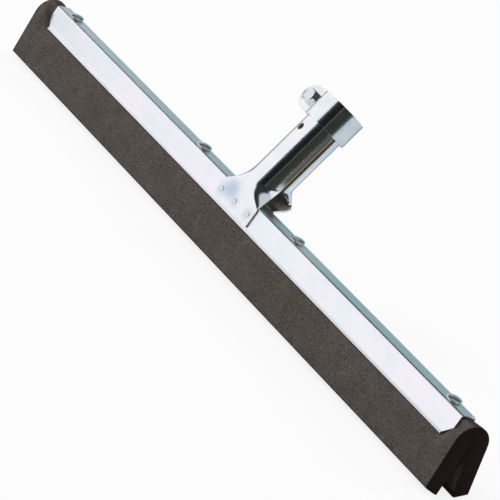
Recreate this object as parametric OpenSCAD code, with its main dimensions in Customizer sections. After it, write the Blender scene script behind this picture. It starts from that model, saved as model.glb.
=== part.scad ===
// Floor squeegee with a double moss-rubber blade, a pressed steel frame and a clamp socket for a round handle.
// The blade runs along X, the socket leans towards +Y, and the lips stand on the floor at Z = 0.

/* [Frame channel] */
// Length of the steel frame
frame_len = 536; // [320:2:720]
// Height of the frame's top above the floor
frame_top = 48; // [44:0.5:56]
// Width of the flat top of the frame, over the bends
web_w = 11; // [9:0.5:14]
// Height of the frame's sides
frame_drop = 16.5; // [13:0.5:18]
// Angle of the frame's sides from upright
flange_splay = 12.5; // [8:0.5:18]
// Thickness of the frame's sheet
frame_t = 1.2; // [0.8:0.1:1.6]
// Outer radius of the two long bends
bend_r = 1.8; // [1.6:0.1:2.8]
// How far the turned-out lower edge stands proud of the side
edge_out = 1.1; // [0.5:0.1:1.6]
// Height of the turned-out lower edge
edge_h = 2.2; // [1.6:0.1:3]
// Length of the corner cut off each end of the sides
corner_len = 5.6; // [3:0.2:8]
// Height of the cut corner
corner_h = 6; // [3:0.5:7]
// Height of the cut's lower end above the lower edge
corner_up = 1.5; // [0.5:0.1:2]

/* [Foam blade] */
// How far the foam blade reaches past each end of the frame
foam_over = 12; // [6:0.5:20]
// Thickness of one lip
lip_t = 11; // [8:0.5:12]
// Half of the gap between the lips at the floor
lip_gap = 6.4; // [5:0.2:8]
// Angle of the lips' cut ends from level
lip_cut = 17.5; // [10:0.5:22]
// Radius of the fold where it is free, past the frame's ends
fold_r = 13; // [11.5:0.25:13.5]
// How far the free fold stands above the frame
fold_proud = -0.25; // [-1:0.05:1]
// Depth that the lips' tips are flattened on the floor
tip_flat = 0.5; // [0.3:0.1:0.8]
// Room left round the foam, which in use presses on the steel
foam_gap = 0.3; // [0.2:0.05:0.4]

/* [Clamp strip and rivets] */
// Distance from each end of the frame to the strip inside the fold
strip_in = 8; // [2:1:30]
// Width of the strip
strip_w = 6; // [5:0.5:7]
// Thickness of the strip
strip_t = 2.5; // [1.5:0.25:3]
// Foam left between the strip and the top of the fold
strip_cover = 11; // [9:0.5:12]
// Distance of the outer rivets from the frame's ends
rivet_in = 18; // [16:1:40]
// Distance of the inner rivets from the socket's feet
rivet_beside = 40; // [12:1:70]
// Diameter of the rivets
rivet_d = 5; // [4:0.25:5.5]
// Diameter of the rivets' heads
rivet_head_d = 10.4; // [9:0.2:12]
// Height of the rivets' heads above the frame
rivet_head_h = 2.7; // [2:0.1:5]
// Room round a rivet in its hole
rivet_gap = 0.2; // [0.1:0.05:0.3]

/* [Socket] */
// Lean of the socket from upright
socket_tilt = 26; // [20:0.5:35]
// How far behind the middle the socket's axis crosses the frame's top
socket_back = 6.2; // [5:0.1:8.5]
// Inside diameter of the socket, for a 25.4 mm handle
socket_id = 25.8; // [24:0.1:28]
// Thickness of the socket's sheet
socket_t = 1.3; // [1:0.1:1.5]
// Length of the socket from the frame's top, along its axis
socket_len = 79.5; // [70:0.5:120]
// Height above the frame's top where the spread tongues become the round tube
round_up = 12; // [11:0.5:16]
// Width of the open seam
seam_w = 2.4; // [1.5:0.1:4]
// Width of each foot
foot_w = 44; // [40:0.5:50]
// Depth of a foot's top under the frame's top
foot_drop = 1; // [0.8:0.1:2]
// How far the rear tongue steps back behind the frame
step_back = 12.5; // [10:0.5:15]
// Rise of that step
step_rise = 2.5; // [1.5:0.5:4]
// Distance between the weld spots on a foot
weld_pitch = 17; // [12:0.5:18]
// Diameter of a weld spot
weld_d = 3.6; // [3:0.1:6]
// Diameter of the screw hole in the socket's front
screw_d = 5; // [3.5:0.25:6]
// Distance of the screw hole from the frame's top, along the axis
screw_at = 51; // [40:1:60]
// Turn of the screw hole towards the closed side
screw_turn = 12; // [0:1:20]

/* [Clamp] */
// Height of the clamp ring along the socket
ring_h = 19; // [14:0.5:24]
// Thickness of the clamp ring
ring_t = 2; // [1.5:0.1:3]
// Room between the ring and the socket while the clamp is loose
ring_gap = 0.4; // [0.3:0.05:0.8]
// Distance from the socket's end to the ring
ring_in = 0.4; // [0:0.1:3]
// Gap between the ring's two ears
ear_gap = 4; // [3:0.25:6]
// Distance of the bolt from the ring's outside
bolt_out = 9.6; // [8:0.2:12]
// Diameter of the clamp bolt
bolt_d = 6; // [5:1:6]
// Length of the bolt under its head
bolt_len = 16.5; // [15:0.5:25]
// Width across the flats of the bolt's head and of the nut
hex_af = 10; // [8:0.5:10]
// Height of the bolt's head
head_h = 4; // [3:0.25:5]
// Height of the nut
nut_h = 5; // [4:0.25:6]
// Room round the bolt in the ears
bolt_gap = 0.35; // [0.3:0.05:0.5]
// Radial running fit of the nut on the bolt
thread_gap = 0.05; // [0.03:0.01:0.1]
// Space under the bolt's head and the nut
face_gap = 0.05; // [0.02:0.01:0.1]

/* [Hidden] */
$fn = 64;
steel = [0.80, 0.83, 0.86];
dull_steel = [0.66, 0.68, 0.70];
foam_grey = [0.20, 0.19, 0.18];

// Places along the frame
frame_low = frame_top - frame_drop;
web_under = frame_top - frame_t;
foam_len = frame_len + 2 * foam_over;
strip_len = frame_len - 2 * strip_in;
rivet_outer_x = frame_len / 2 - rivet_in;
rivet_inner_x = foot_w / 2 + rivet_beside;
rivet_xs = [-rivet_outer_x, -rivet_inner_x, rivet_inner_x, rivet_outer_x];

// Half width of the frame's outside at a height, and the sheet's width measured level
function flange_y(z) = web_w / 2 + (frame_top - z) * tan(flange_splay);
flange_level_t = frame_t / cos(flange_splay);

// Strip and rivet heights
strip_top = web_under - foam_gap - strip_cover;
strip_under = strip_top - strip_t;
tail_h = 1.8;
tail_d = rivet_d * 1.6;

// Socket places
socket_r = socket_id / 2;
socket_or = socket_r + socket_t;
foot_top = frame_top - foot_drop;
foot_low = frame_low + edge_h + 0.6;
front = -1;
rear = 1;

// Clamp places
ring_r = socket_or + ring_gap;
ring_or = ring_r + ring_t;
ring_from = socket_len - ring_in - ring_h;
ring_mid = ring_from + ring_h / 2;
bolt_x = -(ring_or + bolt_out);
ear_face = ear_gap / 2 + ring_t;

// The frame's section

// Centre and end angles of the long bend on the +Y side
bend_c = [web_w / 2 - bend_r * tan((90 - flange_splay) / 2), frame_top - bend_r];
function arc(c, r, a, b, n) = [for (i = [0:n]) c + r * [cos(a + (b - a) * i / n), sin(a + (b - a) * i / n)]];

// Outline of one half of the sheet, from the middle of the top to the turned-out edge and back
half_sheet = concat(
    [[0, frame_top]],
    arc(bend_c, bend_r, 90, flange_splay, 8),
    [[flange_y(frame_low + edge_h), frame_low + edge_h],
     [flange_y(frame_low) + edge_out, frame_low + 0.3],
     [flange_y(frame_low) + edge_out - 0.5, frame_low],
     [flange_y(frame_low + edge_h) - flange_level_t, frame_low + edge_h - 0.6]],
    arc(bend_c, bend_r - frame_t, flange_splay, 90, 8),
    [[0, web_under]]);

module along_x(length) {
    translate([-length / 2, 0, 0]) rotate([90, 0, 90]) linear_extrude(length) children();
}

// Corner cut through both sides at the +X end
module end_corner() {
    x = frame_len / 2;
    low = frame_low + corner_up;
    rotate([90, 0, 0]) linear_extrude(2 * frame_top, center = true)
        polygon([[x, low + corner_h], [x - corner_len, low], [x - corner_len, frame_low - 1],
                 [x + 1, frame_low - 1], [x + 1, low + corner_h]]);
}

module frame_channel() {
    color(steel) difference() {
        along_x(frame_len) polygon(concat(half_sheet,
            [for (i = [len(half_sheet) - 2:-1:1]) [-half_sheet[i][0], half_sheet[i][1]]]));
        end_corner();
        mirror([1, 0, 0]) end_corner();
        for (x = rivet_xs)
            translate([x, 0, web_under - 1]) cylinder(d = rivet_d + 2 * rivet_gap, h = frame_t + 2);
    }
}

// The foam blade: one strip folded in two, pinched in the frame and swelling where it is free

fold_c = frame_top + fold_proud - fold_r;
lip_out = [lip_gap + lip_t * cos(lip_cut), lip_t * sin(lip_cut)];
// Where the lip's outer side leaves the round fold
fold_to_lip = lip_out - [0, fold_c];
lip_leave = atan2(fold_to_lip[1], fold_to_lip[0]) + acos(fold_r / norm(fold_to_lip));
lip_leave_pt = [fold_r * cos(lip_leave), fold_c + fold_r * sin(lip_leave)];
function lip_y(z) = lip_out[0] + (z - lip_out[1]) * (lip_leave_pt[0] - lip_out[0]) / (lip_leave_pt[1] - lip_out[1]);
function free_y(z) = z < lip_leave_pt[1] ? lip_y(z) : sqrt(max(0, fold_r * fold_r - (z - fold_c) * (z - fold_c)));
// Inner face of a lip
apex_r = 1.2;
function inner_y(z) = lip_gap + (apex_r - lip_gap) * z / (fold_c - apex_r);

// Heights of the section's outer points where the foam is free, and their partners where it is pinched
pinch_low = frame_low - foam_gap;
pinch_y0 = flange_y(frame_low + edge_h) - flange_level_t - foam_gap;
pinch_top = web_under - foam_gap;
pinch_y1 = flange_y(pinch_top) - flange_level_t - foam_gap - 0.3;
free_drop = frame_low - lip_out[1];
free_side = [for (k = [1, 0.5, 0.32, 0.21, 0.12, 0.05]) let (z = frame_low - free_drop * k) [free_y(z), z]];
pinch_side = [free_side[0], free_side[1],
    [free_side[2][0] - 0.2, free_side[2][1]], [free_side[3][0] - 0.7, free_side[3][1]],
    [free_side[4][0] - 1.8, free_side[4][1]], [flange_y(frame_low) + 0.9, pinch_low - 0.4]];
round_n = 10;
free_round = [for (i = [0:round_n]) let (a = 90 * i / round_n)
    [fold_r * cos(a), fold_c + fold_r * sin(a)]];
pinch_round = concat([[pinch_y0 + 0.6, pinch_low - 0.05], [pinch_y0 - 0.1, pinch_low + 0.8]],
    [for (i = [2:round_n - 2]) let (k = (i - 2) / (round_n - 4))
        [pinch_y0 - 0.1 + (pinch_y1 - pinch_y0 + 0.1) * k, pinch_low + 0.8 + (pinch_top - 1 - pinch_low - 0.8) * k]],
    [[pinch_y1 - 1, pinch_top], [0, pinch_top]]);
inside = [for (z = [fold_c - apex_r, fold_c * 0.6, fold_c * 0.3, tip_flat * 0.1]) [inner_y(z), z]];
tip = [[inner_y(0), 0], [inner_y(0) + tip_flat / tan(lip_cut), 0]];
tip_in = [[inner_y(0), 0], [inner_y(0) + tip_flat / tan(lip_cut) + 0.2, 0]];

// Half section at a swelling from 0, pinched, to 1, free
function half_foam(k) = concat([[0, fold_c - 0.2]], [inside[0], inside[1], inside[2]], tip_in,
    [for (i = [0:len(free_side) - 1]) pinch_side[i] * (1 - k) + free_side[i] * k],
    [for (i = [0:round_n]) pinch_round[i] * (1 - k) + free_round[i] * k]);
function mirrored(pts) = [for (i = [len(pts) - 2:-1:1]) [-pts[i][0], pts[i][1]]];
function foam_ring(k) = let (h = half_foam(k)) concat(h, mirrored(h));

swell_from = frame_len / 2 + foam_gap;
swell_len = foam_over - foam_gap;
swell = [for (s = [[0, 0], [0.1, 0.3], [0.25, 0.6], [0.5, 0.88], [0.9, 1]]) [s[0] * swell_len, s[1]]];
stations = concat(
    [[-foam_len / 2, 1]],
    [for (i = [len(swell) - 1:-1:0]) [-swell_from - swell[i][0], swell[i][1]]],
    [for (s = swell) [swell_from + s[0], s[1]]],
    [[foam_len / 2, 1]]);

module foam_body() {
    ring_n = len(foam_ring(0));
    count = len(stations);
    pts = [for (s = stations) for (p = foam_ring(s[1])) [s[0], p[0], p[1]]];
    sides = [for (j = [0:count - 2]) for (i = [0:ring_n - 1])
        let (a = j * ring_n + i, b = j * ring_n + (i + 1) % ring_n)
        each [[a, b, b + ring_n], [a, b + ring_n, a + ring_n]]];
    ends = [[for (i = [ring_n - 1:-1:0]) i], [for (i = [0:ring_n - 1]) (count - 1) * ring_n + i]];
    polyhedron(pts, concat(sides, ends), convexity = 6);
}

module foam_blade() {
    color(foam_grey) difference() {
        foam_body();
        // pocket of the strip
        translate([-strip_len / 2 - foam_gap, -strip_w / 2 - foam_gap, strip_under - foam_gap])
            cube([strip_len + 2 * foam_gap, strip_w + 2 * foam_gap, strip_t + 2 * foam_gap]);
        for (x = rivet_xs) {
            translate([x, 0, strip_under]) cylinder(d = rivet_d + 2 * foam_gap, h = frame_top - strip_under);
            translate([x, 0, strip_under - tail_h - foam_gap])
                cylinder(d = tail_d + 2 * foam_gap, h = tail_h + 2 * foam_gap);
        }
    }
}

// Flat bar with rounded upper edges, drilled for the rivets
module clamp_strip() {
    edge_r = 0.8;
    color(dull_steel) difference() {
        along_x(strip_len) polygon(concat(
            [[-strip_w / 2, strip_under], [strip_w / 2, strip_under]],
            arc([strip_w / 2 - edge_r, strip_top - edge_r], edge_r, 0, 90, 5),
            arc([edge_r - strip_w / 2, strip_top - edge_r], edge_r, 90, 180, 5)));
        for (x = rivet_xs)
            translate([x, 0, strip_under - 1]) cylinder(d = rivet_d + 2 * rivet_gap, h = strip_t + 2);
    }
}

// Rivet turned about its own axis: set tail, shank, short neck and domed head with an overhanging rim
module rivet() {
    neck_h = rivet_head_h * 0.2;
    neck_r = rivet_d / 2 + 0.9;
    rim_h = 0.7;
    head_r = rivet_head_d / 2;
    dome_h = rivet_head_h - neck_h - rim_h;
    dome_n = 10;
    rotate_extrude() polygon(concat(
        [[0, strip_under - tail_h], [tail_d / 2 - 0.6, strip_under - tail_h],
         [tail_d / 2, strip_under - tail_h + 0.6], [tail_d / 2, strip_under], [rivet_d / 2, strip_under],
         [rivet_d / 2, frame_top], [neck_r, frame_top], [neck_r, frame_top + neck_h * 0.5],
         [neck_r + 0.5, frame_top + neck_h], [head_r - 0.3, frame_top + neck_h + 0.15]],
        [for (i = [0:dome_n]) let (a = 90 * i / dome_n)
            [head_r * cos(a), frame_top + neck_h + rim_h + dome_h * sin(a)]]));
}

module rivets() {
    color(steel) for (x = rivet_xs) translate([x, 0, 0]) rivet();
}

// The socket: one pressed blank rolled into a tube, its two tongues spread from half-round to flat feet

lean = [0, sin(socket_tilt), cos(socket_tilt)];
back = [0, cos(socket_tilt), -sin(socket_tilt)];
function axis_pt(t) = [0, socket_back, frame_top] + t * lean;
module on_axis() {
    translate([0, socket_back, frame_top]) rotate([-socket_tilt, 0, 0]) children();
}

// Small inset that buries the tongues' ends in the tube's wall and in the feet
bury = 0.15;
lap = 0.3;
// Angle from the tube's front or back line to the cut edge of a tongue
tongue_half = 90 - asin((seam_w / 2 + bury) / (socket_or - bury));
across_n = 24;
up_n = 14;
// Where the true tube starts, just above the rear tongue's bend, and where the tongues part on the closed side
tube_from = (round_up + (socket_or - bury) * sin(socket_tilt)) / cos(socket_tilt) + lap;
part_at = round_up / cos(socket_tilt) + lap;

// Places across a tongue, from -1 to 1: spread out along the foot and turned round the tube
function spread(u) = sign(u) * (1 - pow(1 - abs(u), 2.2));
function turn(u) = sign(u) * pow(abs(u), 1.5) * tongue_half;
function flange_up(side) = [0, -side * sin(flange_splay), cos(flange_splay)];
function flange_face(side) = [0, side * cos(flange_splay), sin(flange_splay)];
function foot_pt(side, u) =
    [(foot_w / 2 - bury) * spread(u), side * (flange_y(foot_top) + socket_t / cos(flange_splay) - bury), foot_top];
function tube_out(side, u) = sin(turn(u)) * [1, 0, 0] + cos(turn(u)) * side * back;
function rim(side, u) = (socket_or - bury) * tube_out(side, u);
function tube_pt(side, u) = axis_pt((round_up - rim(side, u)[2]) / lean[2]) + rim(side, u);
function unit(v) = v / norm(v);

// Control points of a fibre. The front ones run almost straight from the frame's side up to the tube. The
// rear ones step back level behind the frame before they turn up, and flare to the side by the cut edges
function fibre(side, u) = let (a = foot_pt(side, u), d = tube_pt(side, u), flare = u * u)
    side == front ? [a, a + 2 * flange_up(front), d - 3 * lean, d]
    : [a, a + 1.5 * flange_up(rear), a + [4 * sign(u) * flare, step_back + 4 * flare, step_rise + 1.5 * flare],
       d - 9 * (1 - flare) * lean + flare * [11 * sign(u), 12, -10], d - 2 * lean, d];
function bezier(p, v) = len(p) == 1 ? p[0]
    : bezier([for (i = [1:len(p) - 1]) (1 - v) * p[i - 1] + v * p[i]], v);
function tongue_pt(side, u, v) = bezier(fibre(side, u), v);
function tongue_out(side, u, v) = let (e = 0.004,
    along_u = tongue_pt(side, min(1, u + e), v) - tongue_pt(side, max(-1, u - e), v),
    along_v = tongue_pt(side, u, min(1, v + e)) - tongue_pt(side, u, max(0, v - e)))
    unit(-side * cross(along_u, along_v));

// Extra rows run down into the foot, and straight up along the round wall into the true tube
root_depth = 1.2;
function tongue_row(side, u, j) =
    j == 0 ? foot_pt(side, u) - root_depth * flange_up(side)
    : j == up_n + 2 ? axis_pt(tube_from + root_depth) + rim(side, u)
    : tongue_pt(side, u, (j - 1) / up_n);
function row_out(side, u, j) =
    j <= 1 ? flange_face(side) : j > up_n ? tube_out(side, u) : tongue_out(side, u, (j - 1) / up_n);

module tongue(side) {
    n = across_n + 1;
    rows = up_n + 3;
    thick = socket_t - 2 * bury;
    outer = [for (j = [0:rows - 1]) for (i = [0:across_n]) tongue_row(side, 2 * i / across_n - 1, j)];
    inner = [for (j = [0:rows - 1]) for (i = [0:across_n]) let (u = 2 * i / across_n - 1)
        tongue_row(side, u, j) - thick * row_out(side, u, j)];
    m = n * rows;
    faces = concat(
        [for (j = [0:rows - 2]) for (i = [0:across_n - 1]) let (a = j * n + i, b = a + 1, c = b + n, d = a + n)
            each [[a, c, b], [a, d, c], [a + m, b + m, c + m], [a + m, c + m, d + m]]],
        [for (i = [0:across_n - 1]) let (a = i, b = i + 1) each [[a, b, b + m], [a, b + m, a + m]]],
        [for (i = [0:across_n - 1]) let (a = (rows - 1) * n + i, b = a + 1)
            each [[b, a, a + m], [b, a + m, b + m]]],
        [for (j = [0:rows - 2]) let (p = j * n, q = p + n) each [[q, p, p + m], [q, p + m, q + m]]],
        [for (j = [0:rows - 2]) let (p = j * n + across_n, q = p + n) each [[p, q, q + m], [p, q + m, p + m]]]);
    polyhedron(concat(outer, inner), side == front ? faces : [for (f = faces) [f[2], f[1], f[0]]], convexity = 8);
}

// Flat foot lying on the frame's side, with its row of weld spots
module foot(side) {
    low = foot_low;
    slant = (foot_top - low) / cos(flange_splay);
    spot_at = (foot_top + low) / 2;
    translate([0, side * flange_y(low), low]) rotate([side * flange_splay, 0, 0])
        translate([-foot_w / 2, side > 0 ? 0 : -socket_t, 0]) cube([foot_w, socket_t, slant]);
    for (x = [-weld_pitch, 0, weld_pitch])
        translate([x, side * flange_y(spot_at), spot_at]) rotate([-side * (90 - flange_splay), 0, 0])
            cylinder(d = weld_d, h = socket_t + 0.35);
}

// Sheet left whole between the tongues on the side away from the seam
module closed_side() {
    half_w = seam_w / 2 + bury + 0.8;
    wall_h = tube_from - part_at + lap;
    on_axis() intersection() {
        translate([0, 0, part_at]) difference() {
            cylinder(r = socket_or, h = wall_h);
            translate([0, 0, -1]) cylinder(r = socket_r + 0.5, h = wall_h + 2);
        }
        translate([-2 * socket_or, -half_w, 0]) cube([2 * socket_or, 2 * half_w, socket_len]);
    }
}

module socket() {
    color(steel) difference() {
        union() {
            on_axis() difference() {
                translate([0, 0, tube_from]) cylinder(r = socket_or, h = socket_len - tube_from);
                translate([0, 0, tube_from - 1]) cylinder(r = socket_r, h = socket_len - tube_from + 2);
                translate([0, -seam_w / 2, tube_from - 1])
                    cube([2 * socket_or, seam_w, socket_len - tube_from + 2]);
            }
            closed_side();
            for (side = [front, rear]) {
                foot(side);
                tongue(side);
            }
        }
        on_axis() translate([0, 0, screw_at]) rotate([90, 0, -screw_turn])
            cylinder(d = screw_d, h = socket_or + 2);
    }
}

// The clamp: a split ring with two rounded ears, drawn together by a bolt and nut

module ring_outline() {
    ear_len = -bolt_x;
    difference() {
        union() {
            circle(r = ring_or);
            translate([bolt_x - ring_h / 2, -ear_face]) square([ear_len + ring_h / 2, 2 * ear_face]);
        }
        circle(r = ring_r);
        translate([bolt_x - ring_h, -ear_gap / 2]) square([ear_len + ring_h, ear_gap]);
    }
}

module clamp_ring() {
    color(steel) on_axis() difference() {
        intersection() {
            translate([0, 0, ring_from]) linear_extrude(ring_h) ring_outline();
            union() {
                translate([bolt_x, -2 * ring_or, ring_from]) cube([4 * ring_or, 4 * ring_or, ring_h]);
                translate([bolt_x, 0, ring_mid]) rotate([90, 0, 0])
                    cylinder(d = ring_h, h = 2 * ear_face + 2, center = true);
            }
        }
        translate([bolt_x, 0, ring_mid]) rotate([90, 0, 0])
            cylinder(d = bolt_d + 2 * bolt_gap, h = 2 * ear_face + 4, center = true);
    }
}

// Places children on the bolt's axis, their +Z pointing out of the bolt's head
module on_bolt() {
    on_axis() translate([bolt_x, 0, ring_mid]) rotate([90, 0, 0]) children();
}

// Hexagon with its flats facing along the socket and its top corners turned off
module hex_body(height) {
    across = hex_af / cos(30);
    intersection() {
        cylinder(d = across, h = height, $fn = 6);
        rotate_extrude() polygon([[0, 0], [across / 2, 0], [across / 2, height - 0.8],
            [hex_af / 2 * 0.95, height], [0, height]]);
    }
}

module clamp_bolt() {
    under_head = ear_face + face_gap;
    color(steel) on_bolt() {
        translate([0, 0, under_head]) hex_body(head_h);
        translate([0, 0, under_head - bolt_len + 0.6]) cylinder(d = bolt_d, h = bolt_len);
        translate([0, 0, under_head - bolt_len]) cylinder(d1 = bolt_d - 1.2, d2 = bolt_d, h = 0.6);
    }
}

module clamp_nut() {
    color(steel) on_bolt() difference() {
        mirror([0, 0, 1]) translate([0, 0, ear_face + face_gap]) hex_body(nut_h);
        translate([0, 0, -ear_face - nut_h - 1]) cylinder(r = bolt_d / 2 + thread_gap, h = nut_h + 2);
    }
}

frame_channel();
foam_blade();
clamp_strip();
rivets();
socket();
clamp_ring();
clamp_bolt();
clamp_nut();
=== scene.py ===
import math
import bpy
from mathutils import Matrix, Vector


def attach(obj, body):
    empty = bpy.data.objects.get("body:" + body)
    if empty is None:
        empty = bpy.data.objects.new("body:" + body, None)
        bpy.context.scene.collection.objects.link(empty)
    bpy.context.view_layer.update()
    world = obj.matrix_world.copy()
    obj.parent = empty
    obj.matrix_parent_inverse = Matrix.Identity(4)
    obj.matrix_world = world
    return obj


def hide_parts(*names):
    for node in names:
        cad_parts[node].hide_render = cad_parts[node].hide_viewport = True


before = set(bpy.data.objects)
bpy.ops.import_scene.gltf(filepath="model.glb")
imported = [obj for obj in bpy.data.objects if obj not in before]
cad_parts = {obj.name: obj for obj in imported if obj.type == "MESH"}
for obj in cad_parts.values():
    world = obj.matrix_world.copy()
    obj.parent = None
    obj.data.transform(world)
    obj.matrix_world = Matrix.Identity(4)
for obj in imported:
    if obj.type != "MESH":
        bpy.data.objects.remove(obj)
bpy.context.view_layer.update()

# The studio: a camera with a long lens, rolled as the photograph is, over a white floor. Bright steel
# shows the room, so the room is white on the left, nearly black round the camera, pale behind on the
# right and blue-green behind on the left, under a dark ceiling with a pale patch.
azimuth, elevation, roll = math.radians(49.42), math.radians(18.06), math.radians(26.14)
aside, above, away = 0.02042, 0.00497, 2.218
focal_pixels, picture_pixels, film_width = 3438, 500, 36.0


def space(origin, x_way, y_way, z_way):
    """The matrix of a space with that origin and those three axes."""
    return Matrix.Translation(origin) @ Matrix((x_way, y_way, z_way)).transposed().to_4x4()


to_camera = Vector((math.cos(elevation) * math.sin(azimuth), -math.cos(elevation) * math.cos(azimuth),
                    math.sin(elevation)))
level = Vector((math.cos(azimuth), math.sin(azimuth), 0.0))
upright = to_camera.cross(level)
across = math.cos(roll) * level + math.sin(roll) * upright
along = math.cos(roll) * upright - math.sin(roll) * level
camera_data = bpy.data.cameras.new("camera")
camera_data.sensor_width = film_width
camera_data.lens = focal_pixels / picture_pixels * film_width
camera_data.clip_end = 60.0
camera = bpy.data.objects.new("camera", camera_data)
bpy.context.scene.collection.objects.link(camera)
camera.matrix_world = space(aside * across + above * along + away * to_camera, across, along, to_camera)
bpy.context.scene.camera = camera
bpy.context.scene.view_settings.view_transform = "Standard"


class Shade:
    """One output of a shader node. Python's operators on it add Math nodes."""

    def __init__(self, tree, socket=None):
        self.tree, self.socket = tree, socket

    def node(self, kind, settings=(), inputs=(), out=0):
        """A node of that kind, with its settings, then its sockets' values or links. Gives one output."""
        made = self.tree.nodes.new("ShaderNode" + kind)
        for name, value in dict(settings).items():
            setattr(made, name, value)
        for name, value in dict(inputs).items():
            self.feed(made.inputs[name], value)
        return Shade(self.tree, made.outputs[out] if len(made.outputs) else None)

    def feed(self, socket, value):
        """Gives a socket a link, a colour or a plain value."""
        if isinstance(value, Shade):
            self.tree.links.new(value.socket, socket)
        elif socket.type == "RGBA":
            socket.default_value = (*value, 1.0)
        else:
            socket.default_value = value

    def math(self, operation, *others):
        return self.node("Math", {"operation": operation}, dict(enumerate((self, *others))))

    def __add__(self, other):
        return self.math("ADD", other)

    def __sub__(self, other):
        return self.math("SUBTRACT", other)

    def __mul__(self, other):
        return self.math("MULTIPLY", other)

    __radd__, __rmul__ = __add__, __mul__

    def __rsub__(self, other):
        return self.node("Math", {"operation": "SUBTRACT"}, {0: other, 1: self})

    def rise(self, low, high):
        """0 below low, 1 above high, and smooth between. Low may be the larger."""
        return self.node("MapRange", {"interpolation_type": "SMOOTHSTEP"}, {0: self, 1: low, 2: high})

    def rise_mm(self, low, high):
        """The same for a length in metres, with its limits in millimetres."""
        return self.rise(low / 1000, high / 1000)

    def mix(self, first, second):
        """first where this is 0 and second where it is 1. A Mix node's colours are its sockets 6, 7 and 2."""
        return self.node("Mix", {"data_type": "RGBA"}, {0: self, 6: first, 7: second}, 2)

    def vector(self, operation, *others, out=0):
        return self.node("VectorMath", {"operation": operation}, dict(enumerate((self, *others))), out)

    def dot(self, way):
        return self.vector("DOT_PRODUCT", way, out="Value")

    def distance(self, point):
        """This place's distance in metres from a point in millimetres."""
        return self.vector("DISTANCE", tuple(v / 1000 for v in point), out="Value")

    def axis(self, name):
        return self.node("SeparateXYZ", inputs={0: self}, out=name)

    def noise(self, scale, detail, roughness=0.5):
        """Noise at this place, with so many features to the metre."""
        settings = {"Vector": self, "Scale": scale, "Detail": detail, "Roughness": roughness}
        return self.node("TexNoise", inputs=settings)

    def streaks(self, scales, detail):
        """Noise with a scale of its own along each axis."""
        return self.vector("MULTIPLY", scales).noise(1.0, detail)

    def bump(self, strength, distance):
        return self.node("Bump", inputs={"Height": self, "Strength": strength, "Distance": distance})


floor_level = -0.0002
floor_corners = [(x, y, floor_level) for x, y in ((-9, -9), (9, -9), (9, 9), (-9, 9))]
floor_mesh = bpy.data.meshes.new("floor")
floor_mesh.from_pydata(floor_corners, [], [(0, 1, 2, 3)])
floor = bpy.data.objects.new("floor", floor_mesh)
bpy.context.scene.collection.objects.link(floor)

# The floor is white to the camera. In steel it is greyer on the far side, and blue-green behind on the left.
floor_paint = bpy.data.materials.new("white_floor")
floor_paint.use_nodes = True
paper = Shade(floor_paint.node_tree)
paper.tree.nodes.clear()
spot = paper.node("TexCoord", out="Object")
seen = paper.node("LightPath", out="Is Camera Ray")
mirrored = paper.node("LightPath", out="Is Glossy Ray")
far_side = spot.dot((0.6, 0.8, 0.0)).rise(0.03, 0.25)
behind_left = spot.dot((-0.5, 0.85, 0.0)).rise(0.06, 0.14) * spot.axis("X").rise(0.03, -0.06)
shown = (mirrored * far_side).mix((1.0, 1.0, 1.0), (0.56, 0.64, 0.66))
shown = (mirrored * behind_left).mix(shown, (0.20, 0.33, 0.36))
matt = paper.node("BsdfDiffuse", inputs={"Color": (0.9, 0.9, 0.9)})
lit = paper.node("Emission", inputs={"Color": shown, "Strength": 1.0})
share = seen.math("MAXIMUM", mirrored) * 0.85
paper.node("OutputMaterial", inputs={"Surface": paper.node("MixShader", inputs={0: share, 1: matt, 2: lit})})
floor_mesh.materials.append(floor_paint)

# Bearings are in degrees from -Y towards +X, and the camera's is 49. Each band has a bearing where it
# starts, the blur of that edge, what steel shows of it and the softer grey that matt surfaces get.
world = bpy.data.worlds.new("studio")
bpy.context.scene.world = world
world.use_nodes = True
air = Shade(world.node_tree)
air.tree.nodes.clear()
way = air.node("TexCoord", out="Generated")
way_up = way.axis("Z")
bearing = way.axis("X").math("ARCTAN2", 0.0 - way.axis("Y")) * math.degrees(1.0)
pale_wall, dark = (0.60, 0.68, 0.72), (0.02, 0.03, 0.03)
room, soft = pale_wall, (0.6, 0.6, 0.6)
for start, blur, band_colour, grey in (
        (-155, 3, (0.34, 0.51, 0.53), 0.6),
        (-122, 9, (1.0, 1.0, 1.0), 0.95),
        (-2, 3, (0.05, 0.075, 0.10), 0.28),
        (9, 5, (0.008, 0.008, 0.010), 0.28),
        (43, 1, (0.15, 0.15, 0.15), 0.12),
        (46, 1, (0.032, 0.036, 0.028), 0.12),
        (105, 3, pale_wall, 0.3)):
    past = bearing.rise(start - blur, start + blur)
    room, soft = past.mix(room, band_colour), past.mix(soft, (grey, grey, grey))
front_left = bearing.rise(-84, -78) * bearing.rise(2, -4)
room = way_up.rise(0.44, 0.50).mix(room, front_left.mix(dark, room))
room = way_up.rise(0.61, 0.66).mix(room, dark)
room = way_up.rise(0.89, 0.96).mix(room, (0.60, 0.65, 0.67))
room = way.dot((0.62, 0.25, 0.74)).rise(0.91, 0.94).mix(room, (0.85, 0.90, 0.92))
soft = way_up.rise(0.3, 0.9).mix(soft, (0.7, 0.7, 0.7))
glow = air.node("LightPath", out="Is Glossy Ray").mix(soft, room)
glow = air.node("LightPath", out="Is Camera Ray").mix(glow, (1.0, 1.0, 1.0))
air.node("OutputWorld", inputs={"Surface": air.node("Background", inputs={"Color": glow, "Strength": 1.0})})

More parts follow.
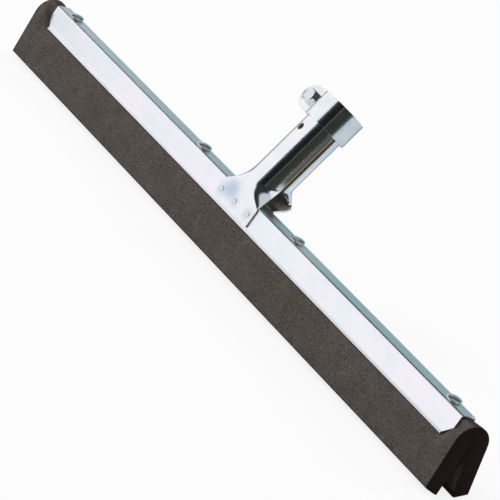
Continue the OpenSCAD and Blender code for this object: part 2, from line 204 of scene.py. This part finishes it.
aim_height = 0.05
for lamp_name, lamp_at, lamp_size, lamp_power in (
        ("key", (-1.3, -1.5, 1.6), 1.2, 26.0),
        ("back", (0.2, 1.8, 1.3), 1.0, 6.0)):
    lamp_data = bpy.data.lights.new(lamp_name, "AREA")
    lamp_data.size = lamp_size
    lamp_data.energy = lamp_power
    lamp = bpy.data.objects.new(lamp_name, lamp_data)
    bpy.context.scene.collection.objects.link(lamp)
    lamp.location = lamp_at
    lamp_way = Vector((-lamp_at[0], -lamp_at[1], aim_height - lamp_at[2]))
    lamp.rotation_euler = lamp_way.to_track_quat("-Z", "Y").to_euler()
    lamp.visible_glossy = False


# The frame: one strip of zinc-plated steel sheet, folded down along both sides, its lower edges turned
# out and its corners cut. The plating has rolling lines and a faint blue and lilac bloom, and on top beside
# the socket's seam a dark grey-green painted reflection. Points are in millimetres until they become a mesh.
half_steel, frame_top, half_top, sheet = 268.0, 48.0, 5.5, 1.2
cut_top, cut_depth, cut_back = 39.0, 6.0, 5.6
splay = math.radians(12.5)
bend_middle, bend_radius, bend_steps = (4.056, 46.2), 1.8, 10
side_levels = (42.0, 39.0, 36.5)
rivet_places, rivet_hole = (-250.0, -62.0, 62.0, 250.0), 2.7
crease, ease_limit = math.radians(32.0), math.radians(40.0)


def side_y(z):
    """Half the frame's outside width at a height."""
    return half_top + (frame_top - z) * math.tan(splay)


def steel_end(z):
    """Where the frame's side ends at a height: its lower corner is cut."""
    return half_steel - max(0.0, min(cut_depth, cut_top - z)) * cut_back / cut_depth


def bend(a, b, c, count):
    """Points on a curve from a to c that heads for b."""
    return [tuple((1 - t) ** 2 * p + 2 * t * (1 - t) * q + t * t * r for p, q, r in zip(a, b, c))
            for t in (k / count for k in range(count + 1))]


def round_bend(radius):
    """Points round the bend between the frame's top and its side."""
    turns = [math.pi / 2 + (splay - math.pi / 2) * k / bend_steps for k in range(bend_steps + 1)]
    return [(bend_middle[0] + radius * math.cos(a), bend_middle[1] + radius * math.sin(a)) for a in turns]


def between(rings, count):
    """Faces that join each closed ring of points to the next."""
    return [(j * count + i, j * count + (i + 1) % count, (j + 1) * count + (i + 1) % count, (j + 1) * count + i)
            for j in range(rings - 1) for i in range(count)]


def end_faces(rings, count):
    """The two faces that close the first and the last of the rings."""
    return [tuple(reversed(range(count))), tuple((rings - 1) * count + i for i in range(count))]


def turned(profile, foot, way, sides=48):
    """Points and faces of a solid turned about an axis, from (radius, height) pairs. Its two ends are flat."""
    turn = Vector((0, 0, 1)).rotation_difference(way).to_matrix()
    points = [tuple(Vector(foot) + turn @ Vector((r * math.cos(a), r * math.sin(a), h)))
              for r, h in profile for a in (math.tau * k / sides for k in range(sides))]
    return points, between(len(profile), sides) + end_faces(len(profile), sides)


def part(name, points, faces, paint, body, node):
    """A new piece from points in millimetres, smooth but for its creases, which stands for a CAD node."""
    mesh = bpy.data.meshes.new(name)
    mesh.from_pydata([tuple(v / 1000 for v in p) for p in points], [], faces)
    mesh.materials.append(paint)
    mesh.shade_smooth()
    mesh.set_sharp_from_angle(angle=crease)
    made = bpy.data.objects.new(name, mesh)
    bpy.context.scene.collection.objects.link(made)
    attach(made, body)
    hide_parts(node)
    return made


def settle(piece):
    """Makes what the modifiers give the piece's own mesh."""
    bpy.context.view_layer.update()
    paint = piece.data.materials[0]
    result = bpy.data.meshes.new_from_object(piece.evaluated_get(bpy.context.evaluated_depsgraph_get()))
    piece.modifiers.clear()
    result.name = piece.name
    piece.data = result
    result.materials.clear()
    result.materials.append(paint)


def worked(piece, solids, operation):
    """Cuts the solids out of a piece, joins them to it or keeps what they share."""
    points, faces = [], []
    for more_points, more_faces in solids:
        faces += [tuple(i + len(points) for i in face) for face in more_faces]
        points += more_points
    tool_mesh = bpy.data.meshes.new("tool")
    tool_mesh.from_pydata([tuple(v / 1000 for v in p) for p in points], [], faces)
    tool = bpy.data.objects.new("tool", tool_mesh)
    bpy.context.scene.collection.objects.link(tool)
    step = piece.modifiers.new("work", "BOOLEAN")
    step.operation, step.solver, step.object = operation, "EXACT", tool
    settle(piece)
    bpy.data.objects.remove(tool)


def eased(piece, width):
    """Takes the sharpness off the piece's edges."""
    ease = piece.modifiers.new("ease", "BEVEL")
    ease.width, ease.segments = width / 1000, 2
    ease.limit_method, ease.angle_limit = "ANGLE", ease_limit
    settle(piece)
    piece.data.shade_smooth()
    piece.data.set_sharp_from_angle(angle=crease)
    flat = piece.modifiers.new("flat", "WEIGHTED_NORMAL")
    flat.weight, flat.keep_sharp = 100, True
    settle(piece)


def finish_of(name, metallic, roughness):
    """A new material with those plain values, the place on the piece's own coordinates, and its shader."""
    made = bpy.data.materials.new(name)
    made.use_nodes = True
    shader = made.node_tree.nodes["Principled BSDF"]
    shader.inputs["Metallic"].default_value = metallic
    shader.inputs["Roughness"].default_value = roughness
    return made, Shade(made.node_tree).node("TexCoord", out="Object"), shader


thick = sheet / math.cos(splay)
outside = [(0.0, frame_top)] + round_bend(bend_radius) + [(side_y(z), z) for z in side_levels]
outside += bend((side_y(34.9), 34.9), (side_y(33.3), 33.3), (10.18, 31.9), 6)
outside += [(10.25, 31.72), (10.2, 31.56)]
underside = [(0.0, frame_top - sheet)] + round_bend(bend_radius - sheet)
underside += [(side_y(z) - thick, z) for z in side_levels]
underside += bend((side_y(34.4) - thick, 34.4), (side_y(32.9) - thick, 32.9), (9.7, 31.56), 6)
underside += [(9.85, 31.5), (10.05, 31.5)]
section_round = outside + underside[::-1]
section_round += [(-y, z) for y, z in underside[1:]] + [(-y, z) for y, z in outside[:0:-1]]
stations = [-half_steel, -262.0, -255.0] + [10.0 * k for k in range(-25, 26)] + [255.0, 262.0, half_steel]
points = [(math.copysign(min(abs(x), steel_end(z)), x), y, z) for x in stations for y, z in section_round]
half_round, count = len(outside), len(section_round)
faces = between(len(stations), count)
# The sheet's cut ends: a row of faces from its outside to its underside, on each half of each end.
for side in (1, -1):
    over = [i if side > 0 else (count - i) % count for i in range(half_round)]
    under = [2 * half_round - 1 - i if side > 0 else 2 * half_round - 1 + i for i in range(half_round)]
    for j, turn_over in ((0, side > 0), (len(stations) - 1, side < 0)):
        for i in range(half_round - 1):
            cap = [j * count + k for k in (over[i], under[i], under[i + 1], over[i + 1])]
            faces.append(tuple(cap if turn_over else cap[::-1]))

zinc, at, shader = finish_of("rolled_zinc_sheet", 1.0, 0.3)
lines = at.streaks((6.0, 900.0, 900.0), 3.0)
bloom = at.noise(38.0, 2.0)
patch = at.vector("MULTIPLY", (1.0, 3.0, 3.0)).noise(90.0, 4.0)
tint = bloom.rise(0.35, 0.65).mix((0.86, 0.90, 0.95), (0.93, 0.90, 0.96))
tint = (patch.rise(0.52, 0.75) * 0.45).mix(tint, (0.78, 0.83, 0.90))
# Painted reflection: a dark grey-green mixed into the top of the frame beside the socket's seam.
by_seam = at.axis("X").rise_mm(74, 45) * at.axis("X").rise_mm(0, 10)
painted_reflection = at.axis("Z").rise_mm(frame_top - 1.0, frame_top - 0.3) * by_seam
tint = (painted_reflection * (0.40 + lines.rise(0.4, 0.6) * 0.4)).mix(tint, (0.44, 0.56, 0.57))
at.feed(shader.inputs["Base Color"], tint)
at.feed(shader.inputs["Roughness"], 0.20 + lines * 0.12 + patch * 0.10)
at.feed(shader.inputs["Normal"], lines.bump(0.25, 0.00004))

channel = part("pressed_steel_frame", points, faces, zinc, "head", "frame_channel")
hole_foot, hole_height = 45.0, 4.0
drills = [turned([(rivet_hole, 0), (rivet_hole, hole_height)], (x, 0, hole_foot), Vector((0, 0, 1)))
          for x in rivet_places]
worked(channel, drills, "DIFFERENCE")
eased(channel, 0.15)


# The blade: one thick strip of moss rubber folded in two. The frame grips the fold, the two halves are
# the lips, and past the frame's ends the fold swells to its own round shape within 10.5 mm.
half_length, fold_radius, fold_height = 280.0, 13.0, 34.75
lip_inner, lip_outer = (6.4, 0.0), (16.89, 3.31)
swell_starts, swell_length = 0.15, 10.5


def steps(a, b, count):
    """Points from a towards b, without b."""
    return [(a[0] + (b[0] - a[0]) * k / count, a[1] + (b[1] - a[1]) * k / count) for k in range(count)]


def rounded(before, corner, after, reach, count=3):
    """Points round a corner, cut back by reach on both sides."""
    def back(p):
        length = math.dist(p, corner)
        return tuple(corner[i] + (p[i] - corner[i]) * reach / length for i in (0, 1))
    return bend(back(before), corner, back(after), count)


# Half the free outline: up the gap's side of the lip, round its foot, and over the fold.
out_angle = math.atan2(lip_outer[1] - fold_height, lip_outer[0]) + math.acos(
    fold_radius / math.hypot(lip_outer[0], lip_outer[1] - fold_height))
leave = (fold_radius * math.cos(out_angle), fold_height + fold_radius * math.sin(out_angle))
flat_end = (lip_inner[0] + 1.6, 0.0)
inside = [(0.0, fold_height - 0.2), (0.7, fold_height - 0.6)]
inside += steps((1.2, fold_height - 1.4), lip_inner, 12)[:-1]
tip = rounded(inside[-1], lip_inner, flat_end, 0.4) + rounded(lip_inner, flat_end, lip_outer, 0.5)
tip += steps(flat_end, lip_outer, 5)[1:]
corner = rounded(flat_end, lip_outer, leave, 0.7, 4)
free = steps(corner[-1], leave, 12)[1:]
free += [(fold_radius * math.cos(a), fold_height + fold_radius * math.sin(a))
         for a in [out_angle + (math.pi / 2 - out_angle) * k / 16 for k in range(17)]]

# The same stretch where the frame holds it: up to the hem, in along it, and up the frame's inside.
held_knots = [corner[-1], (16.0, 12.0), (14.6, 20.0), (13.6, 25.0), (12.4, 28.0), (11.4, 30.0), (10.4, 30.85),
              (9.3, 31.2), (8.2, 31.8), (7.0, 33.5), (6.2, 38.0), (5.3, 42.5), (4.6, 45.0), (3.9, 46.15),
              (2.6, 46.5), (0.0, 46.55)]
held = []
for k in range(1, len(free) + 1):
    along_knots = k / len(free) * (len(held_knots) - 1)
    i = min(int(along_knots), len(held_knots) - 2)
    held.append(tuple(p + (q - p) * (along_knots - i) for p, q in zip(held_knots[i], held_knots[i + 1])))


def section(x):
    """The blade's outline at x: (y, z) pairs from the inside of the fold round one lip."""
    half = inside + tip + corner
    for h, f in zip(held, free):
        past = max(0.0, min(1.0, (abs(x) - steel_end(h[1]) - swell_starts) / swell_length))
        k = past * past * (3 - 2 * past)
        half.append((h[0] + (f[0] - h[0]) * k, h[1] + (f[1] - h[1]) * k))
    return half


def drawn_in(ring, depth):
    """A closed outline moved inward by a depth."""
    moved = []
    for i, (y, z) in enumerate(ring):
        (ya, za), (yb, zb) = ring[i - 1], ring[(i + 1) % len(ring)]
        run = math.hypot(yb - ya, zb - za) or 1.0
        moved.append((y + depth * (zb - za) / run, z - depth * (yb - ya) / run))
    return moved


# The cut ends have slightly rounded edges, and the stations lie close together where the fold swells.
end_rounding = {half_length: 0.25, half_length - 0.08: 0.08, half_length - 0.25: 0.0}
close_step, wide_step = 0.6, 9.4
stations = list(end_rounding)
stations += [stations[-1] - close_step * k for k in range(1, 36)]
stations += [stations[-1] - wide_step * k for k in range(1, 28)]
stations = stations + [0.0] + [-x for x in reversed(stations)]
points = []
for x in stations:
    half = section(x)
    ring = half + [(-y, z) for y, z in reversed(half[1:-1])]
    shrink = end_rounding.get(abs(x), 0.0)
    points += [(x, y, z) for y, z in (drawn_in(ring, -shrink) if shrink else ring)]
count = len(ring)
faces = between(len(stations), count) + end_faces(len(stations), count)

# Open cells and crumbs over a cloudy grey-brown. The lips' feet and the gap are darkened with painted shade;
# the cut ends are darker and redder, partly their own colour and partly painted shade.
moss, at, shader = finish_of("moss_rubber", 0.0, 0.9)
shader.inputs["Specular IOR Level"].default_value = 0.1
cells = at.node("TexVoronoi", {"feature": "F1"}, {"Vector": at, "Scale": 1300.0})
grain = at.noise(750.0, 5.0, 0.65)
cloud = at.noise(55.0, 3.0)
painted_foot_shade = at.axis("Z").rise_mm(4.4, 3.6)
painted_gap_shade = at.axis("Y").math("ABSOLUTE").rise_mm(3.6, 2.9)
cut_end_tone_and_shade = at.axis("X").math("ABSOLUTE").rise_mm(half_length - 1.2, half_length - 0.4)
base = cloud.rise(0.3, 0.7).mix((0.082, 0.068, 0.062), (0.102, 0.086, 0.079))
base = (grain.rise(0.50, 0.68) * 0.7).mix(base, (0.150, 0.135, 0.122))
base = (grain.rise(0.50, 0.34) * 0.7).mix(base, (0.040, 0.035, 0.031))
base = (cells.rise(0.42, 0.12) * 0.5).mix(base, (0.022, 0.020, 0.018))
# Painted shade: the lips' feet and the gap are darkened, and the cut ends partly so.
base = (painted_foot_shade * 0.8).mix(base, (0.020, 0.015, 0.013))
base = (painted_gap_shade * 0.6).mix(base, (0.026, 0.019, 0.017))
base = (cut_end_tone_and_shade * 0.95).mix(base, (0.015, 0.006, 0.006))
at.feed(shader.inputs["Base Color"], base)
at.feed(shader.inputs["Roughness"], 0.78 + grain * 0.2)
at.feed(shader.inputs["Normal"], (cells + grain * 1.5).bump(0.6, 0.00035))
blade = part("moss_rubber_blade", points, faces, moss, "head", "foam_blade")


# The clamp strip: a flat steel bar inside the fold. The rivets draw it up, and the fold is
# squeezed between it and the frame. It is seen only from below, between the lips.
def dress(node, made):
    """Gives a CAD piece whose shape is kept its finish."""
    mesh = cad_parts[node].data
    mesh.materials.clear()
    mesh.materials.append(made)


bar, at, shader = finish_of("strip_steel", 1.0, 0.4)
mill = at.streaks((5.0, 500.0, 500.0), 4.0)
at.feed(shader.inputs["Base Color"], mill.rise(0.3, 0.7).mix((0.50, 0.52, 0.54), (0.66, 0.68, 0.70)))
at.feed(shader.inputs["Roughness"], 0.32 + mill * 0.2)
dress("clamp_strip", bar)


# The rivets: four domed steel rivets, pressed through frame, foam and strip. The riveting tool has
# left their heads slightly hammered.
dome, at, shader = finish_of("rivet_steel", 1.0, 0.2)
hammer = at.noise(420.0, 3.0)
at.feed(shader.inputs["Base Color"], hammer.rise(0.3, 0.7).mix((0.60, 0.66, 0.68), (0.80, 0.84, 0.87)))
at.feed(shader.inputs["Roughness"], 0.24 + hammer * 0.20)
at.feed(shader.inputs["Normal"], hammer.bump(0.3, 0.0002))
dress("rivets", dome)


# The socket: a blank of bright steel sheet, rolled to a tube with an open seam at +X and dull olive
# inside. Its tongues have hollowed left edges and lie on the frame's sides, with three spot welds each,
# and the rear one steps back before it turns up. A screw hole is punched in the tube's front.
lean = math.radians(26.0)
lean_way = Vector((0.0, math.sin(lean), math.cos(lean)))
back_way = Vector((0.0, math.cos(lean), -math.sin(lean)))
side_way = Vector((1, 0, 0))
socket_foot = Vector((0.0, 6.2, frame_top))
socket_space = space(socket_foot, side_way, back_way, lean_way)
tube_radius, socket_sheet, half_seam = 14.2, 1.3, 1.2
# Up the tube's axis it starts about 13 mm from the foot. The tongues join it on a level 12 mm up.
tube_from, mouth_at, join_height = 13, 79.5, 12.0
foot_half, toe_height, foot_low, left_hollow = 22.0, 47.0, 34.3, 8
seam_edge = math.pi / 2 - math.asin(half_seam / tube_radius)
foot_rows, tongue_rows, tube_rows, half_lines = 10, 24, 26, 20
weld_aside, weld_height = 17.0, (toe_height + foot_low) / 2
screw_height, screw_turn, screw_radius = 51.0, math.radians(-12.0), 2.5


def curve(control, t):
    """A point on the Bezier curve of those control points."""
    while len(control) > 1:
        control = [p.lerp(q, t) for p, q in zip(control, control[1:])]
    return control[0]


def foot_face(z):
    """How far a foot's outside is from the frame's middle at a height."""
    return side_y(z) + socket_sheet / math.cos(splay)


def tube_line(out, lift):
    """Points up the tube to its mouth, from the level where the tongues join it or higher by a lift."""
    foot = socket_foot + tube_radius * out
    mouth = foot + mouth_at * lean_way
    low = foot + (join_height - tube_radius * out.z) / lean_way.z * lean_way
    line = [low.lerp(mouth, k / tube_rows) for k in range(tube_rows + 1)]
    return [p.lerp(line[-1], lift * (1 - k / tube_rows) / (mouth_at - tube_from)) for k, p in enumerate(line)]


def fibre(side, u):
    """A line up the blank's outside: the foot, the tongue and the tube. u goes from -1 to 1 across it."""
    up = Vector((0, -side * math.sin(splay), math.cos(splay)))
    spread = math.copysign(1 - (1 - abs(u)) ** 1.6, u)
    turn = math.copysign(abs(u) ** 1.5, u) * seam_edge
    flare, hollow = u * u, left_hollow * min(1.0, max(0.0, -u) / 0.6) ** 2
    toe = Vector((foot_half * spread, side * foot_face(toe_height), toe_height))
    tube = tube_line(math.sin(turn) * side_way + math.cos(turn) * side * back_way, hollow)
    join = tube[0]
    # The front tongue goes straight up into the tube. The rear one first steps back, most at its edges.
    if side < 0:
        control = [toe, toe + (2 - 1.6 * flare ** 4) * up,
                   join - (8 - 5 * max(0, u) ** 4 + 1.15 * hollow) * lean_way, join]
    else:
        step_back = Vector((math.copysign(2.5 * flare, u), 12.5 + 2.5 * flare, 2.5 + 0.8 * flare))
        edge_out = Vector((math.copysign(9.5, u), 12.5, -7.5))
        control = [toe, toe + 1.5 * up, toe + step_back,
                   join - 9 * (1 - flare) * lean_way + flare * edge_out, join - 2 * lean_way, join]
    slant = (toe_height - foot_low) / math.cos(splay)
    foot = [toe - slant * (1 - k / foot_rows) * up for k in range(foot_rows)]
    return foot + [curve(control, k / tongue_rows) for k in range(tongue_rows)] + tube


# The blank from one edge of the seam to the other. Between the tongues, at -X, there is only tube.
blank = [fibre(1, 1 - k / half_lines) for k in range(2 * half_lines + 1)]
blank += [[None] * (foot_rows + tongue_rows) + tube_line(-side_way, left_hollow)]
blank += [fibre(-1, k / half_lines - 1) for k in range(2 * half_lines + 1)]
points, number = [], {}
for i, line in enumerate(blank):
    for j, p in enumerate(line):
        if p is not None:
            number[i, j] = len(points)
            points.append(tuple(p))
faces = []
for i in range(len(blank) - 1):
    for j in range(len(blank[0]) - 1):
        corners = [(i, j), (i + 1, j), (i + 1, j + 1), (i, j + 1)]
        if all(c in number for c in corners):
            faces.append(tuple(number[c] for c in corners))

screw_way = Matrix.Rotation(screw_turn, 3, lean_way) @ -back_way
screw_foot = socket_foot + screw_height * lean_way
screw_mouth = screw_foot + (tube_radius - socket_sheet / 2) * screw_way
welds = [Vector((x, side * foot_face(weld_height), weld_height))
         for side in (-1, 1) for x in (-weld_aside, 0.0, weld_aside)]

bright, at, shader = finish_of("rolled_bright_sheet", 1.0, 0.12)
# Where a place is: up the tube's axis, behind it, out from it, and from the nearest weld.
from_foot = at.vector("SUBTRACT", tuple(socket_foot / 1000))
height = from_foot.dot(tuple(lean_way))
behind = from_foot.dot(tuple(back_way))
to_axis = from_foot.vector("CROSS_PRODUCT", tuple(lean_way)).vector("LENGTH", out="Value")
nearest = at.distance(welds[0])
for weld in welds[1:]:
    nearest = nearest.math("MINIMUM", at.distance(weld))

drawn = at.streaks((500.0, 220.0, 30.0), 3.0)
smear = at.noise(70.0, 3.0)
colour = smear.rise(0.35, 0.7).mix((0.90, 0.89, 0.93), (0.81, 0.86, 0.92))
# Inside the tube the sheet is oxidised, olive at the foot and brown further up.
bore = to_axis.rise_mm(tube_radius - 0.15, tube_radius - 0.5) * height.rise_mm(8, 18)
oxide = height.rise_mm(20, 34).mix((0.46, 0.42, 0.29), (0.26, 0.12, 0.05))
colour = (bore * (0.45 + smear.rise(0.4, 0.6) * 0.4)).mix(colour, oxide)
# The sheet is darker just before the seam's front edge, and coppery along its rim.
on_edge = from_foot.axis("X").rise_mm(9, 12) * height.rise_mm(12, 20)
dark_by_seam = behind.rise_mm(-6.0, -4.0) * behind.rise_mm(0, -half_seam / 2) * on_edge
bare = behind.rise_mm(-2.1, -1.5) * behind.rise_mm(0, -half_seam / 2) * on_edge
colour = (dark_by_seam * 0.93).mix(colour, (0.10, 0.085, 0.065))
colour = (bare * 0.9).mix(colour, (0.62, 0.40, 0.28))
# The front foot is blued on the left, and each weld has a pale blue heat mark with a brown ring.
blued = at.distance((-9.0, -8.8, 45.5)).rise_mm(11.0, 2.0)
heat = nearest.rise_mm(7.5, 2.5)
halo = nearest.rise_mm(2.6, 2.0) * nearest.rise_mm(1.0, 1.6)
colour = (blued * 0.75).mix(colour, (0.42, 0.52, 0.68))
colour = (heat * 0.35).mix(colour, (0.50, 0.60, 0.74))
colour = (halo * 0.25).mix(colour, (0.36, 0.31, 0.28))
# The feet's cut sides are painted dark as shade. The screw hole's edge is rusty and painted bright orange as a
# highlight.
off_side = at.axis("Y").math("ABSOLUTE") * math.cos(splay) + at.axis("Z") * math.sin(splay)
sheet_middle = side_y(toe_height) * math.cos(splay) + toe_height * math.sin(splay) + socket_sheet / 2
painted_side_shade = at.axis("X").math("ABSOLUTE").rise_mm(foot_half - 0.15, foot_half - 0.05)
painted_side_shade = painted_side_shade * off_side.rise_mm(sheet_middle + 0.1, sheet_middle - 0.1)
rust_and_painted_highlight = at.distance(screw_mouth).rise_mm(screw_radius + 0.5, screw_radius + 0.1)
# Painted shade on the feet's cut sides; rust with a painted highlight round the screw hole.
colour = (painted_side_shade * 0.9).mix(colour, (0.09, 0.075, 0.06))
colour = (rust_and_painted_highlight * 0.9).mix(colour, (0.85, 0.56, 0.28))
# What faces the axis low down, inside the tongues, is dull olive.
radius_way = from_foot.vector("SUBTRACT", from_foot.vector("PROJECT", tuple(lean_way)))
throat = at.node("NewGeometry", out="Normal").dot(radius_way).rise_mm(-1, -4) * height.rise_mm(26, 14)
colour = (throat * 0.85).mix(colour, (0.33, 0.31, 0.22))
at.feed(shader.inputs["Base Color"], colour)
at.feed(shader.inputs["Roughness"], 0.07 + drawn * 0.08 + smear * 0.05 + heat * 0.10 + bore * 0.30)
at.feed(shader.inputs["Metallic"], 1.0 - bore * 0.45 - bare * 0.5 - throat * 0.5)
at.feed(shader.inputs["Normal"], (drawn + at.noise(800.0, 2.0)).bump(0.55, 0.00005))

socket = part("rolled_socket", points, faces, bright, "head", "socket")
wall = socket.modifiers.new("sheet", "SOLIDIFY")
wall.thickness, wall.offset, wall.use_even_offset = socket_sheet / 1000, -1.0, True
settle(socket)
worked(socket, [turned([(screw_radius, 5), (screw_radius, 17)], screw_foot, screw_way)], "DIFFERENCE")
nib = [(1.9, -0.6), (1.9, -0.02), (1.75, 0.14), (1.5, 0.27), (1.2, 0.32), (0.9, 0.27), (0.6, 0.19), (0.3, 0.15)]
faced = {side: Vector((0, side * math.cos(splay), math.sin(splay))) for side in (-1, 1)}
worked(socket, [turned(nib, weld, faced[math.copysign(1, weld.y)], 32) for weld in welds], "UNION")
eased(socket, 0.1)


# The clamp ring: a band of thick steel strip bent round the socket's mouth, its ends turned out
# as two rounded ears and drilled for the bolt. The strip's sheared edges are only lightly broken.
ring_middle, ring_half, strip_thick = 69.6, 9.5, 2.0
band_radius, ear_line, bolt_place, bend_out = 15.6, 3.0, -26.2, 2.4
bolt_hole, rows = 3.35, 9
bend_y = ear_line + bend_out
bend_x = -math.sqrt((band_radius + bend_out) ** 2 - bend_y ** 2)
meet = math.atan2(bend_y, bend_x)

# Half the strip's line, as (x, y, share of its width): the ear's round end, the ear, its bend and half
# the band. The other half is its mirror image.
ear_turns = [math.pi / 2 * (1 - k / 14) for k in range(15)]
bend_turns = [-math.pi / 2 + (meet - math.pi / 2) * k / 7 for k in range(7)]
band_turns = [meet * (1 - k / 40) for k in range(40)]
path = [(bolt_place - ring_half * math.sin(a), ear_line, math.cos(a)) for a in ear_turns]
path += [(bolt_place + (bend_x - bolt_place) * k / 3, ear_line, 1.0) for k in (1, 2)]
path += [(bend_x + bend_out * math.cos(a), bend_y + bend_out * math.sin(a), 1.0) for a in bend_turns]
path += [(band_radius * math.cos(a), band_radius * math.sin(a), 1.0) for a in band_turns]
path += [(band_radius, 0.0, 1.0)]
path += [(x, -y, share) for x, y, share in path[-2::-1]]
points = [tuple(socket_space @ Vector((x, y, ring_middle + ring_half * share * (2 * k / (rows - 1) - 1))))
          for x, y, share in path for k in range(rows)]
faces = [(j * rows + k, j * rows + k + 1, (j + 1) * rows + k + 1, (j + 1) * rows + k)
         for j in range(len(path) - 1) for k in range(rows - 1)]

band, at, shader = finish_of("band_steel", 1.0, 0.12)
roll_lines = at.streaks((60.0, 300.0, 700.0), 3.0)
stain = at.noise(120.0, 4.0)
at.feed(shader.inputs["Base Color"], stain.rise(0.35, 0.7).mix((0.89, 0.90, 0.94), (0.76, 0.81, 0.86)))
at.feed(shader.inputs["Roughness"], 0.06 + roll_lines * 0.08 + stain * 0.06)
at.feed(shader.inputs["Normal"], roll_lines.bump(0.15, 0.00005))

ring = part("bent_clamp_ring", points, faces, band, "ring", "clamp_ring")
weld_tips = ring.modifiers.new("tips", "WELD")
weld_tips.merge_threshold = 0.00001
wall = ring.modifiers.new("strip", "SOLIDIFY")
wall.thickness, wall.offset, wall.use_even_offset = strip_thick / 1000, 0.0, True
settle(ring)
bolt_head_way = -back_way
bolt_middle = socket_space @ Vector((bolt_place, 0.0, ring_middle))
worked(ring, [turned([(bolt_hole, -12), (bolt_hole, 12)], bolt_middle, bolt_head_way)], "DIFFERENCE")
eased(ring, 0.25)


# The clamp bolt: an M6 hex bolt, zinc-plated, with its thread rolled up to the head, and its nut
# behind the rear ear. A turn with a 10 mm spanner moves the nut 1 mm and closes the ears.
spanner, under_head, head_high, shank_end = 10, 4.05, 4.0, -12.45
pitch, root, crest, per_turn = 1.0, 2.45, 2.97, 24
bolt_space = space(bolt_middle, side_way, lean_way, bolt_head_way)

plated, at, shader = finish_of("zinc_fastener", 1.0, 0.15)
speck = at.noise(600.0, 3.0)
at.feed(shader.inputs["Base Color"], speck.rise(0.35, 0.7).mix((0.78, 0.81, 0.85), (0.66, 0.72, 0.78)))
at.feed(shader.inputs["Roughness"], 0.10 + speck * 0.14)
at.feed(shader.inputs["Normal"], speck.bump(0.15, 0.00008))

corner_radius = spanner / math.sqrt(3)
hexagon = [(corner_radius * math.cos(math.tau * k / 6), corner_radius * math.sin(math.tau * k / 6))
           for k in range(6)]
points = [tuple(bolt_space @ Vector((x, y, z)))
          for z in (under_head, under_head + head_high) for x, y in hexagon]
bolt = part("m6_bolt", points, between(2, 6) + end_faces(2, 6), plated, "bolt", "clamp_bolt")

# The head is turned: a chamfer takes off its corners, and a ring stands round a shallow dish.
crown = [(5.0, 0), (5.9, 0.35), (5.9, head_high - 0.75), (4.75, head_high), (3.9, head_high),
         (3.6, head_high - 0.3), (0.5, head_high - 0.3)]
worked(bolt, [turned([(r, under_head + h) for r, h in crown], bolt_middle, bolt_head_way)], "INTERSECT")

# The shank up to the thread's root, and the thread as one ridge wound round it, fading in at the end.
shank = [(1.9, shank_end), (root, shank_end + 0.6), (root, under_head + 0.2)]
turns = int((under_head - 0.5 - shank_end) / pitch * per_turn)
thread_points = []
for k in range(turns):
    ridge = root + (crest - root) * min(1.0, (k + 1) / (0.7 * per_turn))
    a, start = math.tau * k / per_turn, shank_end + 0.2 + k * pitch / per_turn
    for r, z in ((root - 0.05, 0.0), (ridge, 0.31), (ridge, 0.45), (root - 0.05, 0.76)):
        thread_points.append(tuple(bolt_space @ Vector((r * math.cos(a), r * math.sin(a), start + z))))
thread_faces = [(4 * k + i, 4 * k + 4 + i, 4 * k + 4 + (i + 1) % 4, 4 * k + (i + 1) % 4)
                for k in range(turns - 1) for i in range(4)]
thread_faces += [(0, 1, 2, 3), tuple(4 * (turns - 1) + i for i in (3, 2, 1, 0))]
worked(bolt, [turned(shank, bolt_middle, bolt_head_way)], "UNION")
worked(bolt, [(thread_points, thread_faces)], "UNION")
bolt.data.shade_smooth()
bolt.data.set_sharp_from_angle(angle=math.radians(25))
dress("clamp_nut", plated)
